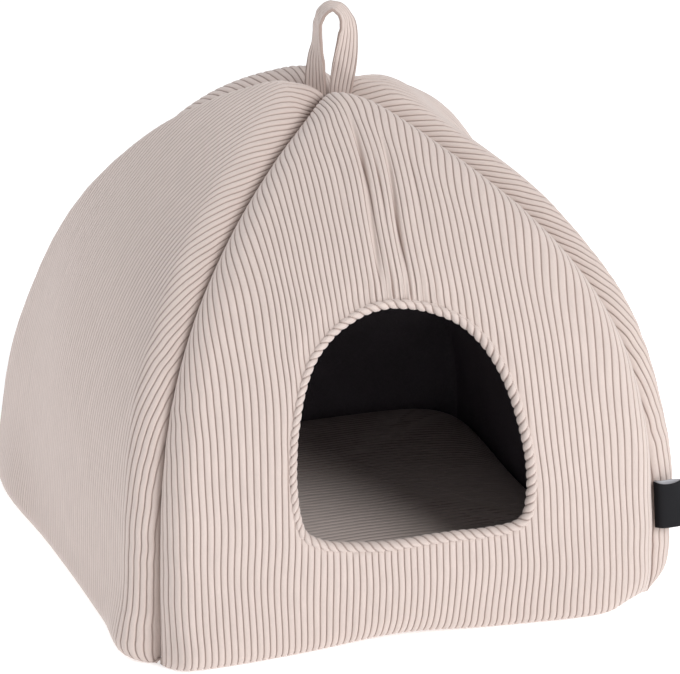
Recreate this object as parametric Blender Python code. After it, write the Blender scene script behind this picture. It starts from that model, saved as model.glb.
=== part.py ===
"""A cat cave of padded, wide-wale corduroy: four curved walls that meet in a point.

The doorway faces -Y, +X is to its right and +Z is up. The origin is on the floor, in the
middle of the cave. Lengths are in metres.

Each wall is a flat piece of cloth with foam behind it, sewn to its neighbours along four
corner seams. A wall is worked out in its own frame, in which it faces -Y, and is then
turned about Z. On its cloth, `across` is the distance from the middle, along the cloth and
over its rolled sides, and `up` is the distance from the hem, along the wall's middle.
"""

import math

import bmesh
import bpy
import numpy as np

# Driving dimensions
SEAM_HALF = 0.178  # from the middle to a corner seam at the floor, along X and along Y
SEAM_APEX = 0.3265  # height at which the four corner seams meet
FOAM_DEPTH = 0.022  # how far a wall reaches inwards from its corner seams
HEM_RADIUS = 0.012  # rounding of a wall's lower edge
RIB_PITCH = 0.00466  # from one rib of the corduroy to the next
RIB_RELIEF = 0.0007  # a rib's top stands this far above the cloth, its grooves as far below
GAP = 0.0003  # left between pieces that touch

BASE_THICK = 0.003
BASE_INSET = 0.004  # from the corner seams to the base's edge
LINING_THICK = 0.001
LINING_GAP = 0.0005

DOOR_EDGE = 0.007  # thickness of the front wall where the binding holds it
DOOR_TAPER = 0.030  # the wall thins over this distance from the doorway
BINDING_HALF = 0.0029  # half the binding's width, across the doorway's edge
BINDING_DEEP = 0.0040  # half its depth, through the wall
BINDING_SUNK = 0.0022  # how far its middle lies behind the wall's face
BINDING_TWIST = 0.0006  # rise and fall of the binding's cords
BINDING_PITCH = 0.0066  # from one cord to the next, along the binding
BINDING_SIDES = 6

# The doorway's outline, to the outer edge of its binding: X and Z in millimetres, anticlockwise from the right
DOOR_POINTS = np.array([
    (85.8, 99.4), (85.6, 118.5), (82.8, 137.4), (78.8, 156.1), (73.5, 174.5), (66.0, 192.1), (55.6, 208.2),
    (41.8, 221.3), (24.7, 229.9), (6.3, 235.1), (-12.6, 236.4), (-31.5, 232.9), (-48.8, 225.0), (-64.1, 213.6),
    (-75.4, 198.2), (-82.5, 180.4), (-87.2, 161.9), (-89.9, 142.9), (-90.4, 123.8), (-88.9, 104.7), (-82.9, 86.7),
    (-67.0, 76.6), (-48.3, 72.7), (-29.3, 70.9), (-10.1, 70.4), (9.0, 70.9), (28.1, 71.2), (47.3, 70.5),
    (66.4, 71.4), (77.0, 75.0), (83.2, 82.5),
]) / 1000

CUSHION_HALF = 0.1495
CUSHION_DRAWN_IN = 0.003  # how far the cushion's sides pull in between its corners

STRAP_WIDTH = 0.0175
STRAP_THICK = 0.0030
STRAP_RIBS = 4
LOOP_TOP = 0.3985
LOOP_FOOT = 0.3289  # height of the strap's two ends
LOOP_SPREAD = 0.0099  # half the loop's width, between the middles of its two sides

TAB_HEIGHT = 0.035
TAB_LENGTH = 0.020
TAB_BOTTOM = 0.052
TAB_CLOTH = 0.0008
TAB_FOLD = 0.0016  # space between the folded tab's two layers

# Corner seams: the half width at a height is SEAM_HALF * (1 - (height / apex) ** power) ** taper
SEAMS = {
    # name: (power, taper)
    "front_left": (3.90, 0.834),
    "front_right": (3.73, 0.818),
    "back_right": (1.94, 0.742),
    "back_left": (2.31, 0.606),
}

WALLS = [
    # name, seam on its left, seam on its right, turn in degrees, roll radius, roll height, crown, rows between
    # the hem and the roll at its top
    ("wall_front", "front_left", "front_right", 0, 0.017, 0.0190, 0.0050, (0.36, 0.56, 0.69, 0.83)),
    ("wall_right", "front_right", "back_right", 90, 0.010, 0.0170, 0.0080, (0.45, 0.78)),
    ("wall_back", "back_right", "back_left", 180, 0.017, 0.0190, 0.0050, (0.45, 0.78)),
    ("wall_left", "back_left", "front_left", 270, 0.017, 0.0190, 0.0050, (0.38, 0.64, 0.84)),
]

# Soft folds in the front wall, above the doorway: across, lower end, upper end, depth, width
FOLDS = [
    (-0.009, 0.235, 0.395, 0.0030, 0.006),
    (0.013, 0.235, 0.365, 0.0026, 0.006),
]

# Where a wall's stuffing is fuller or slacker: across, up, width, height, lift
STUFFING = {
    "wall_front": [(-0.150, 0, 0.050, 0.040, 0.009), (0.125, 0, 0.045, 0.05, 0.007)],
    "wall_right": [
        (0.045, 0.300, 0.030, 0.050, 0.0135), (0.010, 0.350, 0.03, 0.025, 0.005),
        (-0.020, 0.270, 0.026, 0.035, -0.013), (-0.10, 0.285, 0.05, 0.030, 0.0025),
        (-0.14, 0.205, 0.08, 0.030, 0.0005), (-0.16, 0.085, 0.08, 0.040, 0.0030), (-0.16, 0.01, 0.06, 0.02, 0.003),
    ],
    "wall_back": [(0.05, 0.330, 0.05, 0.06, 0.005)],
    "wall_left": [
        (-0.10, 0.135, 0.07, 0.06, -0.0025), (-0.12, 0.005, 0.06, 0.035, 0.008),
        (0.118, 0.005, 0.05, 0.03, 0.004), (0.165, 0, 0.03, 0.03, 0.007),
    ],
}

SAMPLES = 400
QUARTER = math.pi / 2
INNER_APEX = SEAM_APEX - 1.15 * FOAM_DEPTH
LIFT = 1 - (BASE_THICK + GAP) / SEAM_APEX  # the walls stand on the base, and keep the apex's height

# The inner faces are plain, with points where the front wall thins towards its doorway
INNER_ROWS = (0, 0.13, 0.21, 0.26, 0.40, 0.54, 0.67, 0.765, 0.84, 0.93)  # shares of the inner height
FRONT_COLUMNS = (-1, -0.76, -0.57, -0.46, -0.25, 0, 0.25, 0.46, 0.57, 0.76, 1)  # of its half width
PLAIN_COLUMNS = (-1, -0.5, 0, 0.5, 1)


def seam_half(height, seam):
    power, taper = SEAMS[seam]
    share = np.clip(height / SEAM_APEX, 0, 1)
    return SEAM_HALF * (1 - share**power) ** taper


def smooth(low, high, value):
    share = min(1.0, max(0.0, (value - low) / (high - low)))
    return share * share * (3 - 2 * share)


class Wall:
    """The outer and inner face of one wall, in the frame in which it faces -Y."""

    def __init__(self, left, right, roll_radius, roll_height, crown, rows, folds, stuffing):
        self.seams, self.stuffing = (left, right), stuffing
        self.roll_radius, self.roll_height, self.crown = roll_radius, roll_height, crown
        self.rows, self.folds = rows, folds
        climb = np.linspace(0, QUARTER, SAMPLES)
        self.z = SEAM_APEX * np.sin(climb) ** 0.6
        self.left, self.right = seam_half(self.z, left), seam_half(self.z, right)
        depth = -(self.left + self.right) / 2
        self.up = np.concatenate([[0], np.cumsum(np.hypot(np.diff(depth), np.diff(self.z)))])
        self.length = self.up[-1]
        run, rise = np.gradient(depth, self.up), np.gradient(self.z, self.up)
        speed = np.hypot(run, rise)
        self.run, self.rise = run / speed, rise / speed
        slant = np.hypot(1, self.run)
        self.slant = slant
        self.cloth = [
            edge + (QUARTER - 1) * np.minimum(roll_radius, edge / slant) * slant
            for edge in (self.left, self.right)
        ]

    def at(self, up, values):
        return float(np.interp(up, self.up, values))

    def reach(self, across):
        """How far up the wall the cloth goes at this distance from its middle."""
        cloth = np.minimum.accumulate(self.cloth[int(across > 0)])
        return float(np.interp(abs(across), cloth[::-1], self.up[::-1]))

    def outer(self, across, up, relief=0.0):
        """A point of the outer face, raised by `relief` above the smooth cloth."""
        edge = self.at(up, self.right if across > 0 else self.left)
        cloth = self.at(up, self.cloth[int(across > 0)])
        slant = self.at(up, self.slant)
        radius = min(self.roll_radius, edge / slant)
        to_seam = max(0.0, cloth - abs(across)) / slant
        turn = min(to_seam / radius, QUARTER) if radius > 1e-6 else 0.0
        inset = radius * (1 - math.cos(turn)) + max(0.0, to_seam - radius * QUARTER)
        side = max(0.0, edge - inset * slant)
        height = self.roll_height * radius / self.roll_radius * math.sin(turn)
        height += self.crown * (1 - (side / max(edge, 1e-6)) ** 2) * min(1.0, edge / 0.03)
        for middle, low, high, deep, wide in self.folds:
            along = smooth(low, low + 0.03, up) * (1 - smooth(high - 0.05, high, up))
            height -= deep * along * math.exp(-(((across - middle) / wide) ** 2))
        for middle, low, wide, tall, lift in self.stuffing:
            near = math.exp(-(((across - middle) / wide) ** 2) - ((up - low) / tall) ** 2)
            height += lift * near * math.sqrt(math.sin(turn))
        hem = math.sqrt(1 - (1 - min(1.0, up / HEM_RADIUS)) ** 2)
        height = height * hem + relief
        x = math.copysign(max(0.0, side - GAP), across)
        left, right = self.at(up, self.left), self.at(up, self.right)
        share = (x + left) / max(left + right, 1e-6)
        y = -(left + (right - left) * share)
        return (
            x,
            y - height * self.at(up, self.rise),
            BASE_THICK + GAP + self.at(up, self.z) * LIFT + height * self.at(up, self.run),
        )

    def inner(self, share, climb, inset=0.0):
        """A point of the inner face: share -1 to 1 from side to side, climb 0 to 1 upwards."""
        z = climb * (INNER_APEX - inset)
        scale = (SEAM_HALF - FOAM_DEPTH - inset) / SEAM_HALF
        half = [scale * float(seam_half(climb * SEAM_APEX, seam)) for seam in self.seams]
        x = share * half[int(share > 0)]
        y = -(half[0] + (half[1] - half[0]) * (share + 1) / 2)
        return x, y, BASE_THICK + GAP + z * LIFT


def front_face(wall, x, z):
    """Where the front wall's smooth outer face lies at this place in its elevation."""
    low, high = 0.0, wall.length
    for _ in range(24):
        middle = (low + high) / 2
        if wall.outer(x, middle)[2] < z:
            low = middle
        else:
            high = middle
    return wall.outer(x, low)[1]


def door_outline(count, inset=0.0):
    """A smooth closed curve through the doorway's points, `inset` inwards, and its direction inwards."""
    place = np.arange(2000) / 2000 * len(DOOR_POINTS)
    at, share = place.astype(int), (place % 1)[:, None]
    a, b, c, d = (DOOR_POINTS[(at + step) % len(DOOR_POINTS)] for step in (-1, 0, 1, 2))
    shape = b + 0.5 * share * ((c - a) + share * ((2 * a - 5 * b + 4 * c - d) + share * (3 * b - a - 3 * c + d)))
    shape = np.concatenate([shape, shape[:1]])
    walked = np.concatenate([[0], np.cumsum(np.hypot(*np.diff(shape, axis=0).T))])
    places = np.arange(count) / count * walked[-1]
    points = np.stack([np.interp(places, walked, shape[:, i]) for i in (0, 1)], axis=1)
    along = np.roll(points, -1, axis=0) - np.roll(points, 1, axis=0)
    along /= np.linalg.norm(along, axis=1)[:, None]
    inwards = np.stack([-along[:, 1], along[:, 0]], axis=1)
    return points + inset * inwards, inwards, walked[-1]


def outside_door(x, z, outline):
    """Distance from a place in the front wall's elevation to the doorway, 0 inside it."""
    inside = False
    nearest = 1.0
    for (x1, z1), (x2, z2) in zip(outline, np.roll(outline, -1, axis=0)):
        if (z1 > z) != (z2 > z) and x < x1 + (z - z1) / (z2 - z1) * (x2 - x1):
            inside = not inside
        run, rise = x2 - x1, z2 - z1
        share = min(1.0, max(0.0, ((x - x1) * run + (z - z1) * rise) / (run * run + rise * rise)))
        nearest = min(nearest, math.hypot(x - x1 - share * run, z - z1 - share * rise))
    return 0.0 if inside else nearest


def doorway_taper(wall, point, outline, inset):
    """Moves a point of the front wall's inner face out towards the doorway's binding."""
    x, y, z = point
    share = 1 - smooth(0, DOOR_TAPER, outside_door(x, z, outline))
    if share == 0:
        return point
    edge = front_face(wall, x, z) + DOOR_EDGE + inset
    return x, y + (edge - y) * share, z


# Mesh helpers


def clear_scene():
    for thing in list(bpy.data.objects):
        bpy.data.objects.remove(thing, do_unlink=True)


def material(name, colour, roughness):
    finish = bpy.data.materials.new(name)
    finish.use_nodes = True
    shader = finish.node_tree.nodes["Principled BSDF"]
    shader.inputs["Base Color"].default_value = (*colour, 1)
    shader.inputs["Roughness"].default_value = roughness
    shader.inputs["Metallic"].default_value = 0
    return finish


def add_object(name, points, faces, finish, turn=0):
    mesh = bpy.data.meshes.new(name)
    mesh.from_pydata(points, [], faces)
    work = bmesh.new()
    work.from_mesh(mesh)
    bmesh.ops.recalc_face_normals(work, faces=work.faces)
    work.to_mesh(mesh)
    work.free()
    mesh.shade_smooth()
    mesh.set_sharp_from_angle(angle=math.radians(50))
    mesh.materials.append(finish)
    thing = bpy.data.objects.new(name, mesh)
    thing.rotation_euler.z = math.radians(turn)
    bpy.context.scene.collection.objects.link(thing)
    return thing


def stitch(outer, inner, points):
    """Triangles between two runs of points, given by their indices, matched by their length."""
    def walked(run):
        places = np.array([points[i] for i in run])
        total = np.concatenate([[0], np.cumsum(np.linalg.norm(np.diff(places, axis=0), axis=1))])
        return total / total[-1]

    far, near = walked(outer), walked(inner)
    faces, i, j = [], 0, 0
    while i < len(outer) - 1 or j < len(inner) - 1:
        if j == len(inner) - 1 or (i < len(outer) - 1 and far[i + 1] <= near[j + 1]):
            faces.append((outer[i], outer[i + 1], inner[j]))
            i += 1
        else:
            faces.append((outer[i], inner[j + 1], inner[j]))
            j += 1
    return faces


def tube(rings):
    """Points and faces of a closed ring of sections."""
    sides = len(rings[0])
    points = [point for ring in rings for point in ring]
    faces = []
    for i in range(len(rings)):
        here, after = i * sides, (i + 1) % len(rings) * sides
        for j in range(sides):
            k = (j + 1) % sides
            faces.append((here + j, here + k, after + k, after + j))
    return points, faces


def stack(rings):
    """Points and faces of a closed body of sections, with its two ends filled."""
    points, faces = tube(rings)
    sides = len(rings[0])
    faces = faces[:-sides]
    faces.append(tuple(range(sides)))
    faces.append(tuple(range(len(points) - sides, len(points))))
    return points, faces


# The pieces


def cloth_rows(wall, across):
    """Distances up the cloth at which a rib has points: close together where it is rolled."""
    length = wall.reach(across)
    hem = min(HEM_RADIUS, 0.2 * length)
    top = min(0.034, 0.3 * length)
    middle = [hem + share * (length - hem - top) for share in wall.rows]
    return [0, 0.3 * hem, hem, *middle, length - top, length - 0.35 * top, length]


def wall_mesh(wall, place_inner, inner_columns):
    """One wall's closed body: its ribbed outer face, its inner face and the edges between."""
    points, faces = [], []

    def add(point):
        points.append(point)
        return len(points) - 1

    half_pitch = RIB_PITCH / 2
    count = [int((wall.cloth[side][0] - 0.3 * half_pitch) / half_pitch) for side in (0, 1)]
    columns = []
    for number in range(-count[0], count[1] + 1):
        across = number * half_pitch
        rows = cloth_rows(wall, across)
        relief = RIB_RELIEF if number % 2 else -RIB_RELIEF
        columns.append([
            add(wall.outer(across, up, relief if 0 < row < len(rows) - 1 else 0))
            for row, up in enumerate(rows)
        ])
    for here, after in zip(columns, columns[1:]):
        for row in range(len(here) - 1):
            faces.append((here[row], after[row], after[row + 1], here[row + 1]))
    corners = [add(wall.outer(math.copysign(wall.cloth[side][0], side - 0.5), 0)) for side in (0, 1)]
    for corner, column in ((corners[0], columns[0]), (corners[1], columns[-1])):
        for row in range(len(column) - 1):
            faces.append((corner, column[row], column[row + 1]))
    apex = columns[count[0]][-1]
    left_edge = [corners[0]] + [column[-1] for column in columns[: count[0]]] + [apex]
    right_edge = [corners[1]] + [column[-1] for column in columns[:count[0]:-1]] + [apex]
    hem = [corners[0]] + [column[0] for column in columns] + [corners[1]]

    inside = [[add(place_inner(wall, share, climb, 0)) for share in inner_columns] for climb in INNER_ROWS]
    inner_apex = add(place_inner(wall, 0, 1, 0))
    for column in range(len(inner_columns) - 1):
        for here, after in zip(inside, inside[1:]):
            faces.append((here[column], here[column + 1], after[column + 1]))
            faces.append((here[column], after[column + 1], after[column]))
        faces.append((inside[-1][column], inside[-1][column + 1], inner_apex))
    faces += stitch(left_edge, [row[0] for row in inside] + [inner_apex], points)
    faces += stitch(right_edge, [row[-1] for row in inside] + [inner_apex], points)
    faces += stitch(hem, inside[0], points)
    return points, faces


def lining_mesh(walls, place_inner):
    """The lining: one sheet inside all four walls, open at the floor."""
    points, faces = [], []
    sheets = []
    for inset in (LINING_GAP, LINING_GAP + LINING_THICK):
        sheet = []
        for climb in INNER_ROWS:
            ring = []
            for wall, turn, inner_columns in walls:
                for share in inner_columns[:-1]:
                    x, y, z = place_inner(wall, share, climb, inset)
                    for _ in range(turn // 90):
                        x, y = -y, x
                    points.append((x, y, z))
                    ring.append(len(points) - 1)
            sheet.append(ring)
        points.append(place_inner(walls[0][0], 0, 1, inset))
        tip = len(points) - 1
        around = len(sheet[0])
        for here, after in zip(sheet, sheet[1:]):
            for i in range(around):
                k = (i + 1) % around
                faces.append((here[i], here[k], after[k]))
                faces.append((here[i], after[k], after[i]))
        for i in range(around):
            faces.append((sheet[-1][i], sheet[-1][(i + 1) % around], tip))
        sheets.append(sheet)
    outside, inside = sheets[0][0], sheets[1][0]
    for i in range(len(outside)):
        k = (i + 1) % len(outside)
        faces.append((outside[i], outside[k], inside[k], inside[i]))
    return points, faces


def door_cutter(outline, finish):
    rings = [[(x, y, z) for x, z in outline] for y in (-0.3, -0.09)]
    points, faces = stack(rings)
    cutter = add_object("doorway_cutter", points, faces, finish)
    cutter.hide_render = True
    cutter.display_type = "WIRE"
    return cutter


def cut_doorway(thing, cutter):
    cut = thing.modifiers.new("doorway", "BOOLEAN")
    cut.operation = "DIFFERENCE"
    cut.solver = "EXACT"
    cut.object = cutter


def binding_mesh(wall):
    """The twisted binding around the doorway, one cord to every BINDING_PITCH."""
    length = door_outline(360, BINDING_HALF)[2]
    stations = 2 * round(length / BINDING_PITCH)
    centres, inwards, _ = door_outline(stations, BINDING_HALF)
    rings = []
    for i, ((x, z), (in_x, in_z)) in enumerate(zip(centres, inwards)):
        y = front_face(wall, x, z) + BINDING_SUNK
        ring = []
        for side in range(BINDING_SIDES):
            turn = 2 * math.pi * side / BINDING_SIDES
            relief = BINDING_TWIST * (1 - math.cos(math.pi * i + turn))
            out, forward = -(BINDING_HALF - relief) * math.cos(turn), -(BINDING_DEEP - relief) * math.sin(turn)
            ring.append((x + out * in_x, y + forward, z + out * in_z))
        rings.append(ring)
    return tube(rings)


def cushion_mesh():
    """The floor cushion: crowned on top, with its sides drawn in between the corners."""
    bottom = BASE_THICK + GAP
    profile = [
        # inset from the widest line, height above the base
        (0.012, 0.000), (0.002, 0.006), (0.000, 0.013), (0.003, 0.021),
        (0.012, 0.027), (0.040, 0.033), (0.090, 0.037),
    ]
    around = 28
    rings = []
    for inset, height in profile:
        ring = []
        for i in range(around):
            turn = 2 * math.pi * i / around
            square = (abs(math.cos(turn)) ** 8 + abs(math.sin(turn)) ** 8) ** (-1 / 8)
            drawn = CUSHION_DRAWN_IN * math.cos(2 * turn) ** 2
            radius = (CUSHION_HALF - inset) * square - drawn
            ring.append((radius * math.cos(turn), radius * math.sin(turn), bottom + height))
        rings.append(ring)
    return stack(rings)


def base_mesh():
    half, corner = SEAM_HALF - BASE_INSET, 0.015
    ring = []
    for quarter in range(4):
        for step in range(4):
            turn = quarter * QUARTER + step * QUARTER / 3
            side_x = 1 if quarter in (0, 3) else -1
            side_y = 1 if quarter < 2 else -1
            ring.append((
                side_x * (half - corner) + corner * math.cos(turn),
                side_y * (half - corner) + corner * math.sin(turn),
            ))
    return stack([[(x, y, z) for x, y in ring] for z in (0, BASE_THICK)])


def loop_path(share):
    """The strap's centre line, from its back left end (0) over the top to its front right (1)."""
    climb = 2 * min(share, 1 - share)
    leg, turn = min(1.0, 2 * climb), QUARTER * max(0.0, 2 * climb - 1)
    shoulder = LOOP_TOP - STRAP_THICK / 2 - LOOP_SPREAD
    height = LOOP_FOOT + (shoulder - LOOP_FOOT) * leg + LOOP_SPREAD * math.sin(turn)
    spread = (LOOP_SPREAD - 0.0009 * (1 - leg)) * math.cos(turn)
    across = math.copysign(spread, share - 0.5) + 0.0015 + 0.0031 * smooth(0, 1, leg)
    azimuth = math.radians(-45 + 25 * smooth(0, 0.9, leg))
    return np.array([across * math.cos(azimuth), across * math.sin(azimuth), height]), azimuth


def loop_mesh():
    """The hanging loop: a ribbed strap whose two ends lie side by side along one seam."""
    steps = 18
    rings = []
    for step in range(steps + 1):
        share = step / steps
        centre, azimuth = loop_path(share)
        before, after = loop_path(max(0, share - 0.004))[0], loop_path(min(1, share + 0.004))[0]
        along = (after - before) / np.linalg.norm(after - before)
        if share in (0, 1):
            along = np.array([0, 0, 1.0 if share == 0 else -1.0])
        facing = QUARTER * smooth(0, 0.25 if share < 0.5 else 0.43, min(share, 1 - share))
        plane = np.array([math.cos(azimuth), math.sin(azimuth), 0])
        normal = np.array([math.sin(azimuth), -math.cos(azimuth), 0])
        wide = math.cos(facing) * plane * (1 if share < 0.5 else -1) + math.sin(facing) * normal
        wide -= along * float(wide @ along)
        wide /= np.linalg.norm(wide)
        thick = np.cross(along, wide)
        ring = []
        points_per_face = 2 * STRAP_RIBS + 1
        for face in (1, -1):
            for i in range(points_per_face):
                place = (2 * i / (points_per_face - 1) - 1) * face
                lift = STRAP_THICK / 2 - (RIB_RELIEF if i % 2 == 0 else 0)
                ring.append(tuple(centre + wide * place * STRAP_WIDTH / 2 + thick * face * lift))
        rings.append(ring)
    return stack(rings)


def tab_mesh():
    """The blank tab in the front right seam: a strip of cloth folded back on itself."""
    outer, inner = TAB_FOLD / 2 + TAB_CLOTH, TAB_FOLD / 2
    straight = TAB_LENGTH - outer
    turns = [math.radians(angle) for angle in range(-90, 91, 30)]
    section = [(0, -outer)] + [(straight + outer * math.cos(t), outer * math.sin(t)) for t in turns]
    section += [(0, outer), (0, inner)]
    section += [(straight + inner * math.cos(t), inner * math.sin(t)) for t in turns[::-1]]
    section += [(0, -inner)]
    start = float(seam_half(TAB_BOTTOM + TAB_HEIGHT / 2, "front_right")) + 0.0016
    diagonal = math.sqrt(0.5)
    rings = []
    for z in (TAB_BOTTOM, TAB_BOTTOM + TAB_HEIGHT):
        rings.append([
            (start + diagonal * (out + side), -start - diagonal * (out - side), z) for out, side in section
        ])
    return stack(rings)


def build():
    clear_scene()
    corduroy = material("corduroy", (0.66, 0.57, 0.52), 0.95)
    binding = material("binding_cloth", (0.70, 0.60, 0.54), 0.95)
    lining = material("lining_cloth", (0.010, 0.009, 0.010), 0.8)
    base = material("base_cloth", (0.030, 0.029, 0.031), 0.9)
    tab = material("tab_cloth", (0.012, 0.012, 0.014), 0.6)

    walls = {}
    for name, left, right, turn, radius, height, crown, rows in WALLS:
        is_front = name == "wall_front"
        wall = Wall(left, right, radius, height, crown, rows, FOLDS if is_front else (), STUFFING[name])
        walls[name] = (wall, turn, FRONT_COLUMNS if is_front else PLAIN_COLUMNS)
    front = walls["wall_front"][0]
    opening = door_outline(120, -GAP)[0]

    def place_inner(wall, share, climb, inset):
        point = wall.inner(share, climb, inset)
        if wall is front and climb < 1:
            return doorway_taper(wall, point, opening, inset)
        return point

    cutter = door_cutter(opening, lining)
    for name, (wall, turn, inner_columns) in walls.items():
        thing = add_object(name, *wall_mesh(wall, place_inner, inner_columns), corduroy, turn)
        if wall is front:
            cut_doorway(thing, cutter)
    lined = add_object("lining", *lining_mesh(list(walls.values()), place_inner), lining)
    cut_doorway(lined, cutter)
    add_object("doorway_binding", *binding_mesh(front), binding)
    add_object("floor_cushion", *cushion_mesh(), corduroy)
    add_object("base", *base_mesh(), base)
    add_object("hanging_loop", *loop_mesh(), corduroy)
    add_object("seam_tab", *tab_mesh(), tab)


build()
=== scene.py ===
# %% [markdown]
# # A padded corduroy cat cave
#
# Four foam-filled walls of wide-wale corduroy meet in a point. The front one has an arched
# doorway, bound with a strip of the same cloth. Inside are a dark lining and a cushion, on
# top a loop to carry the cave by, and a blank ribbon tab sticks out of one seam.
#
# The lesson goes piece by piece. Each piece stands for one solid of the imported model, which
# stays in the physics while the dressed piece is what the camera sees.

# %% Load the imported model
import math

import bmesh
import bpy
import numpy as np
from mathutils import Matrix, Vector


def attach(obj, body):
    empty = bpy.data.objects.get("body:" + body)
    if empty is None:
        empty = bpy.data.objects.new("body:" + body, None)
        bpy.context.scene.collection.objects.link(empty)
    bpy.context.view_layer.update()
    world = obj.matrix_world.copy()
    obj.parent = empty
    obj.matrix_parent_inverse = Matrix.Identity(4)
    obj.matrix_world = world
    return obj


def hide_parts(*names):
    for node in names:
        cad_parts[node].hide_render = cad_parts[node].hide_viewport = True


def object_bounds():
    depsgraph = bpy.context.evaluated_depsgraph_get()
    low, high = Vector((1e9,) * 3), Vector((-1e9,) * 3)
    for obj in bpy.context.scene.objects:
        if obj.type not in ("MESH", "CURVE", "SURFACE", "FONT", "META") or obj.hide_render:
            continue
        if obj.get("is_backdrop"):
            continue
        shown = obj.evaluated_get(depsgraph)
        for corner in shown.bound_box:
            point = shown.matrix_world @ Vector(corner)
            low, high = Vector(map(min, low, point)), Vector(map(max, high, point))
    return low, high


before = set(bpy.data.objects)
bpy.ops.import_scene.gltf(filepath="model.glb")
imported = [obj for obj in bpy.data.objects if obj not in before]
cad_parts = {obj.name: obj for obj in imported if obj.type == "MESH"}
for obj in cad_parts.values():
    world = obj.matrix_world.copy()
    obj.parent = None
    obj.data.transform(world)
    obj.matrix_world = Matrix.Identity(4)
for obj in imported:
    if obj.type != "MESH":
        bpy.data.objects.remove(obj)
cad_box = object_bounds()
print("nodes:", sorted(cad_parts))

# %% [markdown]
# ## The camera
#
# A product photo is taken from far away with a long lens, which keeps upright edges nearly
# upright. The cave's near corner seams only line up at one distance and height, so these
# values come from fitting the seams. The small sideways shift frames the cave as the photo
# does without turning the camera.

# %% Aim the camera
AZIMUTH, ELEVATION, DISTANCE = math.radians(-18.2622), math.radians(21.1595), 3.5
LOOK_AT = Vector((0, 0, 0.1495))
FOCAL_PIXELS, FRAME_WIDTH, LEFT_SHIFT = 4943.96, 680, 14.07



def direction(azimuth, elevation):
    """From the cave outwards. Azimuth 0 is in front of the doorway, and 90 degrees to its right."""
    level = math.cos(elevation)
    return Vector((math.sin(azimuth) * level, -math.cos(azimuth) * level, math.sin(elevation)))


def aim(thing, towards, distance):
    """Places a camera or a light in a direction from the cave, and turns it to face the cave."""
    thing.location = LOOK_AT + distance * towards
    thing.rotation_euler = towards.to_track_quat("Z", "Y").to_euler()
    bpy.context.scene.collection.objects.link(thing)


lens = bpy.data.cameras.new("camera")
lens.sensor_width = 36
lens.lens = FOCAL_PIXELS / FRAME_WIDTH * lens.sensor_width
lens.shift_x = LEFT_SHIFT / FRAME_WIDTH
camera = bpy.data.objects.new("camera", lens)
aim(camera, direction(AZIMUTH, ELEVATION), DISTANCE)
bpy.context.scene.camera = camera
print("camera at", [round(x, 3) for x in camera.location], "lens", round(lens.lens, 1), "mm")

# %% [markdown]
# ## Node trees as sums
#
# Both a material and a Geometry Nodes tree are graphs of small operations. Wiring them one
# by one hides the idea, so `Flow` wraps a socket and lets Python's own operators add the
# Math nodes. `Flow.add` makes every other kind of node.

# %% A socket that can be used in expressions
class Flow:
    def __init__(self, tree, socket=None):
        self.tree, self.socket = tree, socket

    def add(self, kind, settings=None, inputs=None, output=0):
        """Adds a node: its settings first, then the values or links of its sockets."""
        made = self.tree.nodes.new(kind)
        for name, value in (settings or {}).items():
            setattr(made, name, value)
        for name, value in (inputs or {}).items():
            if isinstance(value, Flow):
                self.tree.links.new(value.socket, made.inputs[name])
            else:
                made.inputs[name].default_value = value
        return Flow(self.tree, made.outputs[output])

    def math(self, operation, *values):
        return self.add("ShaderNodeMath", {"operation": operation}, dict(enumerate((self, *values))))

    def vector(self, *parts):
        return self.add("ShaderNodeCombineXYZ", {}, dict(enumerate(parts)))

    def noise(self, place, scale, detail, roughness):
        inputs = {"Vector": place, "Scale": scale, "Detail": detail, "Roughness": roughness}
        return self.add("ShaderNodeTexNoise", {}, inputs)

    def mix(self, share, first, second):
        """A colour between two others, each a socket or plain red, green and blue."""
        first, second = (c if isinstance(c, Flow) else (*c, 1) for c in (first, second))
        return self.add("ShaderNodeMix", {"data_type": "RGBA"}, {0: share, 6: first, 7: second}, 2)

    def named(self, attribute):
        return self.add("GeometryNodeInputNamedAttribute", {"data_type": "FLOAT"}, {"Name": attribute})

    def moved(self, geometry, length):
        """Geometry with its points moved outwards by a length."""
        normal = self.add("GeometryNodeInputNormal")
        offset = self.add("ShaderNodeVectorMath", {"operation": "SCALE"}, {0: normal, "Scale": length})
        return self.add("GeometryNodeSetPosition", {}, {"Geometry": geometry, "Offset": offset})

    def __add__(self, other):
        return self.math("ADD", other)

    def __sub__(self, other):
        return self.math("SUBTRACT", other)

    def __rsub__(self, other):
        return self.add("ShaderNodeMath", {"operation": "SUBTRACT"}, {0: other, 1: self})

    def __mul__(self, other):
        return self.math("MULTIPLY", other)

    def __truediv__(self, other):
        return self.math("DIVIDE", other)

    def __pow__(self, other):
        return self.math("POWER", other)

    def __abs__(self):
        return self.math("ABSOLUTE")

    __radd__, __rmul__ = __add__, __mul__


def smooth_step(flow, low, high):
    """0 below `low`, 1 above `high` and a soft rise between them."""
    settings = {"interpolation_type": "SMOOTHSTEP"}
    return flow.add("ShaderNodeMapRange", settings, {"Value": flow, "From Min": low, "From Max": high})


# %% [markdown]
# ## Corduroy
#
# Corduroy is cotton pile that stands in cords, called wales, with bare ground cloth between
# them. Three things make it read as corduroy: rounded wales with narrow, shaded grooves, a
# soft bright edge where the pile is seen at a slant, and small patches where the pile lies
# another way. The wales themselves are real geometry on every piece. The material adds what
# is too small for that, and paints the grooves darker: partly the ground cloth's own tone,
# partly painted shade for their depth. It reads the piece's own UV map, `cloth`, which holds
# metres across and along the wales, so that one material fits walls, cushion, binding and
# loop. The cushion takes a copy darkened to 0.78, as painted shade for the cave's shadow.

# %% The corduroy material
WALE_PITCH = 0.00466  # from one wale to the next


def new_material(name, roughness, specular):
    material = bpy.data.materials.new(name)
    material.use_nodes = True
    shader = material.node_tree.nodes["Principled BSDF"]
    shader.inputs["Roughness"].default_value = roughness
    shader.inputs["Specular IOR Level"].default_value = specular
    return material, Flow(material.node_tree), shader


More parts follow.
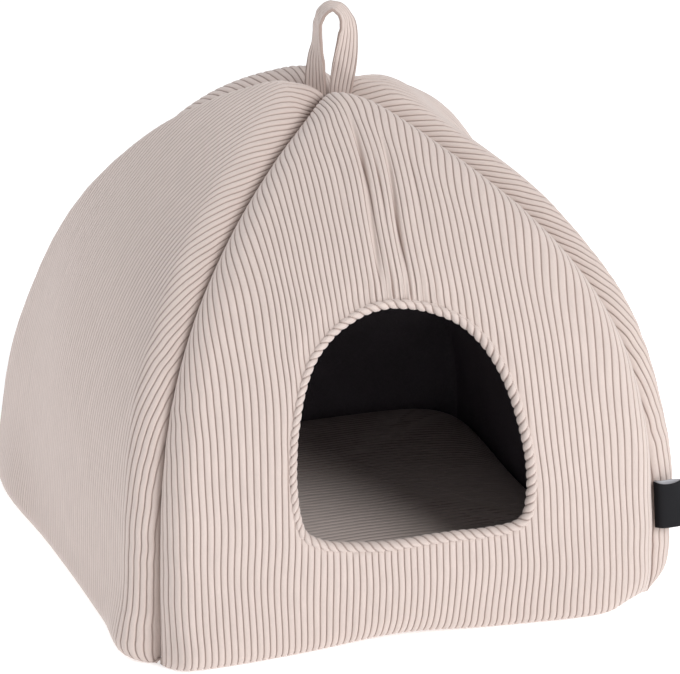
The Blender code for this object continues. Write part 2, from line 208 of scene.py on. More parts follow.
def paint(shader, colour, relief, strength, distance):
    """Gives a shader its colour, and a relief that is too small for the mesh."""
    bump = relief.add("ShaderNodeBump", {}, {"Height": relief, "Strength": strength, "Distance": distance})
    for made, socket in ((colour, "Base Color"), (bump, "Normal")):
        made.tree.links.new(made.socket, shader.inputs[socket])


def times(colour, share):
    return [c * share for c in colour]


def corduroy(name, top, groove):
    material, flow, shader = new_material(name, 0.95, 0.15)
    cloth = flow.add("ShaderNodeUVMap", {"uv_map": "cloth"})
    across, along = (flow.add("ShaderNodeSeparateXYZ", {}, {0: cloth}, i) for i in (0, 1))
    to_groove = abs((across / WALE_PITCH).math("FRACT") - 0.5) * 2  # 0 on a wale's top, 1 in a groove
    grain = flow.noise(flow.vector(across * 1500, along * 420), 1, 2, 0.6)
    patch = flow.noise(flow.vector(across * 260, along * 45), 1, 3, 0.55)
    shade = 0.5 + (grain - 0.5) * 0.45 + (patch - 0.5) * 0.9
    pile = flow.mix(shade.math("MINIMUM", 1.0), times(top, 0.88), times(top, 1.09))
    # Towards a groove's bottom the colour goes to `groove`: partly the ground cloth's own tone, partly painted
    # shade for the groove's depth.
    paint(shader, flow.mix(smooth_step(to_groove, 0.64, 0.98), pile, groove), grain, 0.35, 0.00025)
    shader.inputs["Sheen Weight"].default_value = 0.4
    shader.inputs["Sheen Roughness"].default_value = 0.45
    return material


PILE = (0.672, 0.570, 0.527)
# The grooves' colour: the ground cloth's tone, darkened further as painted shade.
GROUND_AND_GROOVE_SHADE = (0.43, 0.335, 0.30)
cream = corduroy("cream_corduroy", PILE, GROUND_AND_GROOVE_SHADE)
# The cushion's copy at 0.78 of the colour is painted shade: the cave's shadow on it.
cushion_cream_painted_shade = corduroy("cushion_corduroy_painted_shade", times(PILE, 0.78), times(GROUND_AND_GROOVE_SHADE, 0.78))
print("materials:", cream.name, cushion_cream_painted_shade.name)

# %% [markdown]
# ## Raising the wales
#
# Drawing a cord by cord model would be slow and stiff. Instead each piece is first made as
# smooth cloth whose columns of points run along the wales, and one Geometry Nodes tree then
# presses the grooves in. A point's attribute `across` says where it lies on the cloth, and
# the depth depends only on how far that is from the nearest groove.

# %% A Geometry Nodes tree that presses the grooves in
def new_tree(name, *numbers):
    """An empty tree that takes geometry, the named numbers and a material, and gives geometry."""
    tree = bpy.data.node_groups.new(name, "GeometryNodeTree")
    tree.interface.new_socket("Geometry", in_out="OUTPUT", socket_type="NodeSocketGeometry")
    kinds = {"Geometry": "Geometry", **dict.fromkeys(numbers, "Float"), "Material": "Material"}
    for title, kind in kinds.items():
        tree.interface.new_socket(title, in_out="INPUT", socket_type="NodeSocket" + kind)
    entry, leave = tree.nodes.new("NodeGroupInput"), tree.nodes.new("NodeGroupOutput")
    return Flow(tree), {socket.name: Flow(tree, socket) for socket in entry.outputs if socket.name}, leave


def finish_tree(flow, geometry, material, leave):
    """Every tree ends in smooth real mesh with a material, because instances are not exported."""
    smooth = flow.add("GeometryNodeSetShadeSmooth", {}, {"Geometry": geometry})
    real = flow.add("GeometryNodeRealizeInstances", {}, {"Geometry": smooth})
    dressed = flow.add("GeometryNodeSetMaterial", {}, {"Geometry": real, "Material": material})
    flow.tree.links.new(dressed.socket, leave.inputs["Geometry"])
    return flow.tree


def rounded(place, width, fall):
    """Cords side by side, one for each whole number: 0 on top of a cord and -1 in a groove."""
    return (1 - (abs(place.math("FRACT") - 0.5) * 2) ** width) ** fall - 1


def wales_tree():
    flow, given, leave = new_tree("wales", "Pitch", "Depth")
    height = rounded(flow.named("across") / given["Pitch"], 3.0, 0.6) * given["Depth"]
    raised = flow.moved(given["Geometry"], height * flow.named("wale_share"))
    return finish_tree(flow, raised, given["Material"], leave)


def apply_tree(thing, tree, **values):
    """Runs a tree on an object and keeps its result as a plain mesh."""
    modifier = thing.modifiers.new(tree.name, "NODES")
    modifier.node_group = tree
    for item in tree.interface.items_tree:
        key = item.name.lower()
        if item.in_out == "INPUT" and key in values:
            modifier[item.identifier] = values[key]
    made = bpy.data.meshes.new_from_object(thing.evaluated_get(bpy.context.evaluated_depsgraph_get()))
    made.name = thing.name
    if thing.type == "MESH":
        thing.modifiers.remove(modifier)
        thing.data = made
        return thing
    name = thing.name
    bpy.data.objects.remove(thing)
    return link(name, made)


def link(name, mesh):
    thing = bpy.data.objects.new(name, mesh)
    bpy.context.scene.collection.objects.link(thing)
    return thing


def stands_for(thing, node):
    """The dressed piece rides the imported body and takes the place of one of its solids."""
    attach(thing, "root")
    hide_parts(node)
    print(node, "is now", thing.name, "with", len(thing.data.polygons), "faces")


WALES = wales_tree()
print("tree:", WALES.name, len(WALES.nodes), "nodes")

# %% [markdown]
# ## The shape of one wall
#
# A wall is flat cloth over foam, sewn to its neighbours along curved corner seams. All four
# follow one rule. The corner seam gives the half width at each height. From the seam the
# cloth rolls outwards over a rounded foam edge, and then crosses the wall with a slight
# crown. Writing this rule down, in the cloth's own coordinates, gives both the form and the
# run of the wales: a wale is a line where `across` stays the same.

# %% Corner seams and panels
SEAM_HALF, SEAM_APEX = 0.178, 0.3265  # half width at the floor, and height of the point
BASE_THICK, GAP, FOAM_DEPTH = 0.003, 0.0003, 0.022
LIFT = 1 - (BASE_THICK + GAP) / SEAM_APEX
INNER_APEX = SEAM_APEX - 1.15 * FOAM_DEPTH
QUARTER = math.pi / 2
NARROW = 0.03  # below this half width, towards the point, crown and shifts fade out
THREAD_PULL, PULL_REACH = 0.0025, 0.002  # the thread sinks into the foam, and how far that shows
SEAMS = {  # power, taper
    "front_left": (3.90, 0.834),
    "front_right": (3.73, 0.818),
    "back_right": (1.94, 0.742),
    "back_left": (2.31, 0.606),
}


def seam_half(height, seam):
    power, taper = SEAMS[seam]
    return SEAM_HALF * (1 - np.clip(height / SEAM_APEX, 0, 1) ** power) ** taper


def soft(low, high, value):
    share = np.clip((value - low) / (high - low), 0, 1)
    return share * share * (3 - 2 * share)


def ripples(seed, length, *places):
    """Soft, repeatable unevenness between -1 and 1, as a few waves in random directions."""
    random = np.random.default_rng(seed)
    total = 0
    for _ in range(5):
        direction = random.normal(size=len(places))
        direction /= np.linalg.norm(direction)
        wave = length * random.uniform(0.7, 1.5)
        total = total + np.sin(sum(d * p for d, p in zip(direction, places)) * 2 * math.pi / wave
                               + random.uniform(0, 2 * math.pi))
    return total / 3


class Panel:
    """One wall, in a frame in which it faces -Y. `details` adds folds and puckers."""

    def __init__(self, left, right, roll_radius, roll_height, crown, details):
        self.seams, self.details = (left, right), details
        # The roll at a seam is a quarter oval, and `arc` is its length up to each turn
        self.turns = np.linspace(0, QUARTER, 200)
        step = np.hypot(np.sin(self.turns), roll_height / roll_radius * np.cos(self.turns)) * self.turns[1]
        self.arc = np.concatenate([[0], np.cumsum((step[1:] + step[:-1]) / 2)])
        self.roll_radius, self.roll_height, self.crown = roll_radius, roll_height, crown
        climb = np.linspace(0, QUARTER, 400)
        self.z = SEAM_APEX * np.sin(climb) ** 0.6
        self.half = [seam_half(self.z, seam) for seam in self.seams]
        depth = -(self.half[0] + self.half[1]) / 2
        self.up = np.concatenate([[0], np.cumsum(np.hypot(np.diff(depth), np.diff(self.z)))])
        run, rise = np.gradient(depth, self.up), np.gradient(self.z, self.up)
        speed = np.hypot(run, rise)
        self.run, self.rise = run / speed, rise / speed
        self.slant = np.hypot(1, self.run)
        self.cloth = [
            edge + (self.arc[-1] - 1) * np.minimum(roll_radius, edge / self.slant) * self.slant
            for edge in self.half
        ]

    def at(self, up, values):
        return np.interp(up, self.up, values)

    def beside(self, across, up, values):
        """The value of the seam on a place's own side."""
        return np.where(across > 0, self.at(up, values[1]), self.at(up, values[0]))

    def reach(self, across):
        cloth = np.minimum.accumulate(self.cloth[int(across > 0)])
        return float(np.interp(abs(across), cloth[::-1], self.up[::-1]))

    def place(self, across, up):
        """Points of the outer face, without wales, as an array of X, Y, Z."""
        across, up = np.asarray(across, float), np.asarray(up, float)
        edge, cloth = self.beside(across, up, self.half), self.beside(across, up, self.cloth)
        slant = self.at(up, self.slant)
        radius = np.maximum(np.minimum(self.roll_radius, edge / slant), 1e-9)
        to_seam = np.maximum(0, cloth - abs(across)) / slant
        turn = np.interp(to_seam / radius, self.arc, self.turns)
        inset = radius * (1 - np.cos(turn)) + np.maximum(0, to_seam - radius * self.arc[-1])
        side = np.maximum(0, edge - inset * slant)
        left, right = self.at(up, self.half[0]), self.at(up, self.half[1])
        both = left + (right - left) * soft(-0.8, 0.8, across / np.maximum(left + right, 1e-6))
        full = np.minimum(1, both / slant / self.roll_radius) ** 0.6  # less near the point
        height = self.roll_height * full * np.sin(turn)
        height += self.crown * (1 - (side / np.maximum(edge, 1e-6)) ** 2) * np.minimum(1, both / NARROW)
        x = np.copysign(side * np.maximum(0, 1 - GAP / np.maximum(edge, GAP)), across)
        lift, sideways, hem, drop = self.details(across, up, to_seam)
        height = (height + lift * np.sin(turn) ** 0.5) * hem
        y = -(left + (right - left) * (x + left) / np.maximum(left + right, 1e-6))
        pulled = THREAD_PULL * np.exp(-to_seam / PULL_REACH) * np.minimum(1, edge / NARROW)
        x, y = x * (1 - pulled / np.maximum(edge, 1e-6)), y + pulled
        return np.stack([
            x + sideways * np.sin(turn) * np.minimum(1, both / NARROW),
            y - height * self.at(up, self.rise),
            BASE_THICK + GAP + self.at(up, self.z) * LIFT + height * self.at(up, self.run) - drop,
        ], axis=-1)

    def inner(self, share, climb, inset):
        """Points of the inner face: share -1 to 1 from side to side, climb 0 to 1 upwards."""
        scale = (SEAM_HALF - FOAM_DEPTH - inset) / SEAM_HALF
        half = [scale * seam_half(climb * SEAM_APEX, seam) for seam in self.seams]
        x = share * np.where(share > 0, half[1], half[0])
        y = -(half[0] + (half[1] - half[0]) * (share + 1) / 2)
        return np.stack([x, y, BASE_THICK + GAP + climb * (INNER_APEX - inset) * LIFT], axis=-1)


# %% [markdown]
# ## The doorway's outline
#
# The doorway is a hand-cut arch: a little pointed, fuller on its left and with a wavy sill.
# No simple formula has that character, so a smooth curve runs through a few dozen measured
# points. Its outline is kept as a polygon, and `to_doorway` measures the distance to it. The
# wall's cut, the dip of the cloth beside the binding and the thinner foam all follow from it.

# %% The arch
DOOR_HALF, DOOR_DRIFT = 0.0905, 0.02  # its furthest reach to either side, and how far wales slip there
DOOR_EDGE, DOOR_TAPER = 0.007, 0.030  # the wall's thickness there, and over what distance it thins
DOOR_POINTS = np.array([  # X and Z in millimetres, anticlockwise from the right
    (85.8, 99.4), (85.6, 118.5), (82.8, 137.4), (78.8, 156.1), (73.5, 174.5), (66.0, 192.1), (55.6, 208.2),
    (41.8, 221.3), (24.7, 229.9), (6.3, 235.1), (-12.6, 236.4), (-31.5, 232.9), (-48.8, 225.0), (-64.1, 213.6),
    (-75.4, 198.2), (-82.5, 180.4), (-87.2, 161.9), (-89.9, 142.9), (-90.4, 123.8), (-88.9, 104.7), (-82.9, 86.7),
    (-67.0, 76.6), (-48.3, 72.7), (-29.3, 70.9), (-10.1, 70.4), (9.0, 70.9), (28.1, 71.2), (47.3, 70.5),
    (66.4, 71.4), (77.0, 75.0), (83.2, 82.5),
]) / 1000


def door_outline(count, inset=0.0):
    """A smooth closed curve through the points, moved inwards, and the length of the arch."""
    place = np.arange(2000) / 2000 * len(DOOR_POINTS)
    at, share = place.astype(int), (place % 1)[:, None]
    a, b, c, d = (DOOR_POINTS[(at + step) % len(DOOR_POINTS)] for step in (-1, 0, 1, 2))
    bend, twist = 2 * a - 5 * b + 4 * c - d, 3 * b - a - 3 * c + d
    shape = b + 0.5 * share * ((c - a) + share * (bend + share * twist))
    shape = np.concatenate([shape, shape[:1]])
    walked = np.concatenate([[0], np.cumsum(np.hypot(*np.diff(shape, axis=0).T))])
    places = np.arange(count) / count * walked[-1]
    points = np.stack([np.interp(places, walked, shape[:, i]) for i in (0, 1)], axis=1)
    along = np.roll(points, -1, axis=0) - np.roll(points, 1, axis=0)
    along /= np.linalg.norm(along, axis=1)[:, None]
    inwards = np.stack([-along[:, 1], along[:, 0]], axis=1)
    return points + inset * inwards, walked[-1]


DOOR, _ = door_outline(240)


def to_doorway(x, z):
    """Distance from places in the front wall's elevation to the doorway, negative inside it."""
    x, z = np.broadcast_arrays(np.asarray(x, float), np.asarray(z, float))
    shape, x, z = x.shape, x.ravel(), z.ravel()
    nearest, inside = np.full(x.shape, 1.0), np.zeros(x.shape, bool)
    for (x1, z1), (x2, z2) in zip(DOOR, np.roll(DOOR, -1, axis=0)):
        run, rise = x2 - x1, z2 - z1
        share = np.clip(((x - x1) * run + (z - z1) * rise) / (run * run + rise * rise), 0, 1)
        nearest = np.minimum(nearest, np.hypot(x - x1 - share * run, z - z1 - share * rise))
        if z1 != z2:
            inside ^= ((z1 > z) != (z2 > z)) & (x < x1 + (z - z1) / (z2 - z1) * run)
    return np.where(inside, -nearest, nearest).reshape(shape)


print("doorway:", np.round(DOOR.max(axis=0) - DOOR.min(axis=0), 3), "m wide and high")

# %% [markdown]
# ## Folds, puckers and the tucked hem
#
# Sewn foam is never smooth. Beside each corner seam the cloth gathers into short puckers,
# above the doorway two deep folds and three shallow ones run up to the point, the cloth dips
# where the binding grips it, and the hem rolls under. All of these are small lifts and
# shifts of the smooth panel, so each is one term in a sum.

# %% Details of the front wall and of the others
FOLDS = [  # across at the lower and the upper end, both ends, depth, width
    (-0.0130, -0.0060, 0.230, 0.385, 0.0036, 0.0040),
    (0.0060, 0.0100, 0.230, 0.360, 0.0034, 0.0038),
    (-0.0300, -0.0240, 0.265, 0.350, 0.0010, 0.0050),
    (0.0230, 0.0260, 0.250, 0.345, 0.0011, 0.0045),
    (-0.0030, 0.0010, 0.250, 0.355, 0.0012, 0.0030),
]
BINDING_GRIP = 0.0013  # how far the binding pulls the cloth in
GATHER_PITCH = 0.0031  # from one pucker to the next above the doorway


def seam_puckers(seed, across, up, to_seam):
    gathers = ripples(seed, 0.016, up, 0.15 * across) * np.exp(-to_seam / 0.011) * 0.0011
    return gathers + ripples(seed + 1, 0.11, up, across) * 0.0005


def hem_roll(up, radius, sag=0.0045):
    """How far the cloth stands out at the hem, from 0 to 1, and how far it bulges down."""
    share = np.clip(up / radius, 0, 1)
    return np.sqrt(1 - (1 - share) ** 2), sag * np.sin(math.pi * np.sqrt(np.clip(up / 0.012, 0, 1)))


# Where the stuffing is fuller or slacker: across, up, width, height, lift
STUFFING = {
    "wall_front": [(-0.150, 0, 0.050, 0.040, 0.009), (0.125, 0, 0.045, 0.05, 0.007)],
    "wall_right": [
        (0.045, 0.300, 0.030, 0.050, 0.0135), (0.010, 0.350, 0.03, 0.025, 0.005),
        (-0.020, 0.270, 0.026, 0.035, -0.013), (-0.10, 0.285, 0.05, 0.030, 0.0025),
        (-0.14, 0.205, 0.08, 0.030, 0.0005), (-0.16, 0.085, 0.08, 0.040, 0.0030),
        (-0.16, 0.010, 0.060, 0.020, 0.003), (0.085, 0.265, 0.030, 0.025, -0.006),
    ],
    "wall_back": [(0.05, 0.330, 0.05, 0.06, 0.005)],
    "wall_left": [
        (-0.10, 0.135, 0.07, 0.06, -0.0025), (-0.12, 0.005, 0.06, 0.035, 0.008),
        (0.118, 0.005, 0.05, 0.03, 0.001), (0.165, 0, 0.03, 0.03, 0.007),
    ],
}


def stuffing(name, across, up):
    return sum(
        lift * np.exp(-(((across - a) / wide) ** 2) - ((up - u) / tall) ** 2)
        for a, u, wide, tall, lift in STUFFING[name]
    )


def front_details(across, up, to_seam):
    lift = seam_puckers(11, across, up, to_seam)
    for first, last, low, high, deep, wide in FOLDS:
        along = soft(low, low + 0.04, up) * (1 - soft(high - 0.05, high, up))
        near = (across - first - (last - first) * (up - low) / (high - low)) / wide
        lift -= along * deep * (0.6 * np.exp(-(near**2)) + 0.6 * np.exp(-((3 * near) ** 2)))

    beside_door = np.maximum(0, to_doorway(across, up))
    lift -= BINDING_GRIP * np.exp(-beside_door / 0.0022)
    lift += 0.0005 * ripples(5, 0.022, across, up) * np.exp(-beside_door / 0.012)
    gathered = np.exp(-beside_door / 0.012 - ((across - 0.004) / 0.022) ** 2) * soft(0.18, 0.22, up)
    gathers = np.cos(across / GATHER_PITCH * 2 * math.pi + 0.8 * ripples(6, 0.03, up, across))
    lift += 0.0006 * gathered * gathers
    lift += stuffing("wall_front", across, up)

    slack = np.exp(-(((across + 0.010) / 0.045) ** 2))  # the middle of the hem is drawn in
    roll = 0.009 + 0.010 * slack + 0.035 * soft(0.14, 0.19, across)
    hem, drop = hem_roll(up, roll, 0.0055 - 0.003 * slack - 0.0075 * soft(0.13, 0.185, across))

    near_corner = np.exp(-to_seam / 0.022) * (1 - soft(0.02, 0.10, up))
    sideways = 0.0005 * ripples(7, 0.07, across, up)
    sideways = sideways + 0.0022 * near_corner * ripples(8, 0.03, up, 0.3 * across)
    crumpled = np.exp(-to_seam / 0.014 - ((up - 0.168) / 0.022) ** 2) * (across < 0)
    sideways += 0.0021 * crumpled * ripples(9, 0.012, up, 0.3 * across)
    lift -= 0.0035 * np.exp(-to_seam / 0.012 - ((up - 0.172) / 0.012) ** 2) * (across < 0)
    between_folds = soft(0.25, 0.335, up) * (1 - soft(0.365, 0.405, up))
    sideways += 0.0070 * between_folds * np.exp(-((across / 0.055) ** 2))
    return lift, sideways, hem, drop


def plain_details(name, seed):
    def details(across, up, to_seam):
        corner = 1 - soft(-0.185, -0.13, across) if name == "wall_right" else 0
        hem, drop = hem_roll(up, 0.013 + 0.030 * corner, 0.0045 - 0.0065 * corner)
        sideways = 0.0004 * ripples(seed + 3, 0.09, across, up)
        if name == "wall_left":  # its wales are drawn into the foot of the front seam
            drawn = (1 - soft(0, 0.06, up)) * np.exp(-to_seam / 0.02) * (across > 0)
            sideways += drawn * (0.0050 + 0.0012 * ripples(45, 0.015, up, 0.2 * across))
        return seam_puckers(seed, across, up, to_seam) + stuffing(name, across, up), sideways, hem, drop

    return details


def drift(panel, across, up):
    """How far the front wall's wales have slipped aside: gathered above the doorway, slanting beside it."""
    to_seam = panel.beside(across, up, panel.cloth) - abs(across)
    slipped = np.interp(across, [-0.16, -0.095, -0.03, 0.025, 0.14], [0, 0.0045, -0.005, -0.012, -0.0095])
    at_hem = 0.004 * (1 - soft(0, 0.05, up)) * np.exp(-(((across - 0.05) / 0.10) ** 2))
    return (slipped * soft(0.03, 0.22, up) - at_hem) * soft(0, 0.055, to_seam)


# The seams at a wall's left and right, and its roll radius, roll height and crown
MAKES = {
    "wall_front": ("front_left", "front_right", 0.017, 0.0190, 0.0050, front_details),
    "wall_right": ("front_right", "back_right", 0.010, 0.0170, 0.0080, plain_details("wall_right", 20)),
    "wall_back": ("back_right", "back_left", 0.017, 0.0190, 0.0050, plain_details("wall_back", 30)),
    "wall_left": ("back_left", "front_left", 0.017, 0.0190, 0.0050, plain_details("wall_left", 40)),
}
PANELS = {name: (Panel(*make), quarters) for quarters, (name, make) in enumerate(MAKES.items())}
for name, (panel, _) in PANELS.items():
    wide, tall = panel.cloth[0][0] + panel.cloth[1][0], panel.up[-1]
    print(name, "cloth", round(wide, 3), "m wide,", round(tall, 3), "m long")

# %% [markdown]
# ## From columns to a closed wall
#
# The outer face needs points close together across the wales and far apart along them. So
# it is laid out in columns, ten to a wale. A column stops where the cloth meets a seam or
# the doorway, so neighbours differ in length. `join` therefore walks up two columns at once
# and always closes the lower gap next. The inner face, which the lining hides, is a coarse
# grid, and the two are closed along the seams, the hem and the doorway.

# %% Joining columns of points
def join(left, right):
    """Faces between two columns, each a list of (distance up, point) from the hem upwards."""
    faces, i, j = [], 0, 0
    while i < len(left) - 1 or j < len(right) - 1:
        ahead_left = left[i + 1][0] if i < len(left) - 1 else math.inf
        ahead_right = right[j + 1][0] if j < len(right) - 1 else math.inf
        if abs(ahead_left - ahead_right) < 1e-7:
            faces.append((left[i][1], right[j][1], right[j + 1][1], left[i + 1][1]))
            i, j = i + 1, j + 1
        elif ahead_left < ahead_right:
            faces.append((left[i][1], right[j][1], left[i + 1][1]))
            i += 1
        else:
            faces.append((left[i][1], right[j][1], right[j + 1][1]))
            j += 1
    return faces


def join_split(whole, split, whole_is_left):
    """Joins a whole column to one that the doorway splits, and leaves the doorway open."""
    faces = []
    low, high = split[0][-1][0], split[1][0][0]
    first = next(i for i, row in enumerate(whole) if row[0] >= low)
    last = max(i for i, row in enumerate(whole) if row[0] <= high)
    for part, strip in ((whole[: first + 1], split[0]), (whole[last:], split[1])):
        faces += join(part, strip) if whole_is_left else join(strip, part)
    return faces


def join_columns(columns):
    faces = []
    for here, after in zip(columns, columns[1:]):
        if len(here) == len(after):
            for left, right in zip(here, after):
                faces += join(left, right)
        elif len(here) == 1:
            faces += join_split(here[0], after, True)
        else:
            faces += join_split(after[0], here, False)
    return faces


def open_edges(faces):
    """The open edges of a sheet, as loops of points in order."""
    following = {}
    pairs = set()
    for face in faces:
        for a, b in zip(face, face[1:] + face[:1]):
            pairs.add((a, b))
    for a, b in pairs:
        if (b, a) not in pairs:
            following[a] = b
    loops = []
    while following:
        start = next(iter(following))
        loop, at = [start], following.pop(start)
        while at != start:
            loop.append(at)
            at = following.pop(at)
        loops.append(loop)
    return sorted(loops, key=len, reverse=True)


def close_between(first, second, points):
    """Triangles between two runs of points, matched by how far along their run they are."""
    def walked(run):
        total = np.concatenate([[0], np.cumsum(np.linalg.norm(np.diff(points[run], axis=0), axis=1))])
        return total / total[-1]

    far, near = walked(first), walked(second)
    faces, i, j = [], 0, 0
    while i < len(first) - 1 or j < len(second) - 1:
        if j == len(second) - 1 or (i < len(first) - 1 and far[i + 1] <= near[j + 1]):
            faces.append((first[i + 1], first[i], second[j]))
            i += 1
        else:
            faces.append((first[i], second[j], second[j + 1]))
            j += 1
    return faces


def run_between(loop, start, end):
    """The part of a loop from one point to another."""
    at = loop.index(start)
    turned = loop[at:] + loop[:at]
    return turned[: turned.index(end) + 1]


# %% [markdown]
# The columns stand closest at the edges of a groove, because that is where the cloth bends
# most. Rows are set at fixed heights, so that neighbouring columns mostly give square faces,
# with extra ones where a column rolls over into a seam.

# %% Columns of the outer face
WALE_PLACES = (0, 0.035, 0.085, 0.16, 0.29, 0.5, 0.71, 0.84, 0.915, 0.965)
ROLL_ROWS = np.array([0.030, 0.024, 0.019, 0.0145, 0.0105, 0.007, 0.004, 0.0018, 0])
HEM_ROWS = [0, 0.0003, 0.0009, 0.0018, 0.003, 0.0045, 0.0065, 0.009, 0.012]
ROW_STEP = 0.0045
UNDER_BINDING = 0.0012  # the wall's cut edge ends this far beneath the binding


def rows_between(low, high):
    fixed = np.concatenate([HEM_ROWS, np.arange(0.016, 0.45, ROW_STEP)])
    return fixed[(fixed > low + 0.0012) & (fixed < high - 0.0012)]


def column_rows(panel, across):
    top = panel.reach(across)
    ends = top - ROLL_ROWS[ROLL_ROWS < 0.8 * top]
    fixed = rows_between(-1, ends[0])
    return np.concatenate([fixed[fixed < ends[0] - 0.0008], ends]) if top > 0.004 else np.array([0, top])


def doorway_span(place, start, rows):
    """Where a column enters and leaves the doorway, or None if it misses it."""
    fine = np.linspace(rows[0], rows[-1], 700)
    points = place(np.full(fine.shape, start), fine)
    away = to_doorway(points[:, 0], points[:, 2]) + UNDER_BINDING
    inside = np.flatnonzero(away < 0)
    if len(inside) < 6 or inside[0] == 0:
        return None
    first, last = inside[0], inside[-1]
    low = np.interp(0, [away[first], away[first - 1]], [fine[first], fine[first - 1]])
    high = np.interp(0, [away[last], away[last + 1]], [fine[last], fine[last + 1]])
    return low, high


def lay_columns(starts, rows_of, place, with_door):
    """Columns of (row, point index) and the points themselves as (start, row) pairs."""
    columns, pairs = [], []

    def strip(start, rows):
        first = len(pairs)
        pairs.extend((start, row) for row in rows)
        return [(row, first + i) for i, row in enumerate(rows)]

    for start in starts:
        rows = rows_of(start)
        span = doorway_span(place, start, rows) if abs(start) < with_door else None
        if span is None:
            columns.append([strip(start, rows)])
        else:
            low, high = span
            columns.append([
                strip(start, [*rows[rows < low - 0.0006], low]),
                strip(start, [high, *rows[rows > high + 0.0006]]),
            ])
    return columns, pairs


# %% [markdown]
# Now the walls themselves. Each point carries where it lies on the cloth: `across` for the
# wales, and the UV map `cloth` for the material. `wale_share` fades the grooves out where
# the cloth is gripped by a seam.

# %% Building a wall
INNER_ROWS = np.linspace(0, 0.96, 25)


def place_inner(panel, share, climb, inset, is_front):
    """The inner face, which comes forward to the doorway's binding in the front wall."""
    points = panel.inner(np.asarray(share, float), np.asarray(climb, float), inset)
    if is_front:
        away = np.maximum(0, to_doorway(points[..., 0], points[..., 2]))
        near = 1 - soft(0, DOOR_TAPER, away)
        forward = front_depth(panel, points[..., 0], points[..., 2]) + DOOR_EDGE + inset
        points[..., 1] += np.where(near > 0, (forward - points[..., 1]) * near, 0)
    return points


FACE_GRID = {}


def front_depth(panel, x, z):
    """Where the front wall's outer face lies in depth, read from a grid made once."""
    if not FACE_GRID:
        xs, ups = np.linspace(-0.15, 0.15, 61), np.linspace(0, 0.33, 111)
        grid = np.stack([panel.place(np.full(ups.shape, v), ups) for v in xs])
        zs = np.linspace(0.01, 0.28, 109)
        ys = np.stack([np.interp(zs, column[:, 2], column[:, 1]) for column in grid])
        FACE_GRID.update(xs=xs, zs=zs, ys=ys)
    xs, zs, ys = (FACE_GRID[key] for key in ("xs", "zs", "ys"))
    i = np.clip((x - xs[0]) / (xs[1] - xs[0]), 0, len(xs) - 1.001)
    j = np.clip((z - zs[0]) / (zs[1] - zs[0]), 0, len(zs) - 1.001)
    i0, j0 = i.astype(int), j.astype(int)
    fi, fj = i - i0, j - j0
    low = ys[i0, j0] * (1 - fi) + ys[i0 + 1, j0] * fi
    high = ys[i0, j0 + 1] * (1 - fi) + ys[i0 + 1, j0 + 1] * fi
    return low * (1 - fj) + high * fj


def turned(points, quarters):
    for _ in range(quarters):
        points = np.stack([-points[:, 1], points[:, 0], points[:, 2]], axis=1)
    return points


def dress(name, points, faces, cloth, **values):
    """A mesh object with the UV map `cloth` and a point attribute for each of `values`."""
    mesh = bpy.data.meshes.new(name)
    mesh.from_pydata(np.asarray(points).tolist(), [], [list(face) for face in faces])
    corner = np.zeros(len(mesh.loops), int)
    mesh.loops.foreach_get("vertex_index", corner)
    uv = mesh.uv_layers.new(name="cloth")
    uv.data.foreach_set("uv", np.asarray(cloth, float)[corner].ravel())
    for title, numbers in values.items():
        mesh.attributes.new(title, "FLOAT", "POINT").data.foreach_set("value", np.asarray(numbers, float))
    mesh.shade_smooth()
    return link(name, mesh)


def inner_sheet(panel, insets, is_front, starts, rows):
    """The inner face as a coarse sheet, placed once for each inset. Its columns run upwards."""
    def place(share, climb):
        return panel.inner(share, climb, insets[0])

    columns, pairs = lay_columns(starts, lambda start: rows, place, 0.6 if is_front else 0)
    pairs = np.array(pairs)
    faces = join_columns(columns)
    for here, after in zip(columns, columns[1:]):
        faces.append((here[-1][-1][1], after[-1][-1][1], len(pairs)))
    layers = []
    for inset in insets:
        tip = panel.inner(np.array([0.0]), np.array([1.0]), inset)
        layers.append(np.concatenate([place_inner(panel, pairs[:, 0], pairs[:, 1], inset, is_front), tip]))
    return layers, faces, columns


def outer_sheet(panel, place, is_front):
    """The outer face: its places on the cloth, its faces, and its left, right and top corner."""
    wales = [int(cloth[0] / WALE_PITCH) + 1 for cloth in panel.cloth]
    starts = [(n + share) * WALE_PITCH for n in range(-wales[0], wales[1]) for share in WALE_PLACES]
    starts = [a for a in starts if -panel.cloth[0][0] + 0.0002 < a < panel.cloth[1][0] - 0.0002]
    with_door = DOOR_HALF + DOOR_DRIFT if is_front else 0
    columns, pairs = lay_columns(starts, lambda start: column_rows(panel, start), place, with_door)
    corners = np.array([[-panel.cloth[0][0], 0], [panel.cloth[1][0], 0]])
    left, right = len(pairs), len(pairs) + 1
    faces = join_columns(columns)
    faces += [(left, a, b) for (_, a), (_, b) in zip(columns[0][0], columns[0][0][1:])]
    faces += [(a, right, b) for (_, a), (_, b) in zip(columns[-1][0], columns[-1][0][1:])]
    peak = columns[min(range(len(starts)), key=lambda i: abs(starts[i]))][-1][-1][1]
    return np.concatenate([np.array(pairs), corners]), faces, (left, right, peak)


def rims_between(outer_faces, inner_faces, corners, inner_corners, points, is_front):
    """Closes the outer and the inner face along the hem, both seams and the doorway."""
    (outline, *holes), (inner_outline, *inner_holes) = open_edges(outer_faces), open_edges(inner_faces)
    rims = []
    for start, end in ((0, 1), (1, 2), (2, 0)):
        rims += close_between(
            run_between(outline, corners[start], corners[end]),
            run_between(inner_outline, inner_corners[start], inner_corners[end]), points,
        )
    if is_front:
        loops = []
        for loop in (holes[0], inner_holes[0]):
            near = min(range(len(loop)), key=lambda i: np.hypot(*(points[loop[i]][[0, 2]] - DOOR[0])))
            loops.append(loop[near:] + loop[:near] + [loop[near]])
        rims += close_between(*loops, points)
    return rims


def wales_share(panel, cloth, outer, is_front):
    """How fully the wales stand up: less where a seam, the hem or the binding grips the cloth."""
    across, up = cloth.T
    to_seam = panel.beside(across, up, panel.cloth) - abs(across)
    share = soft(0, 0.003, to_seam) * soft(0, 0.0015, up)
    return share * soft(0, 0.0012, to_doorway(outer[:, 0], outer[:, 2]) - 0.0002) if is_front else share


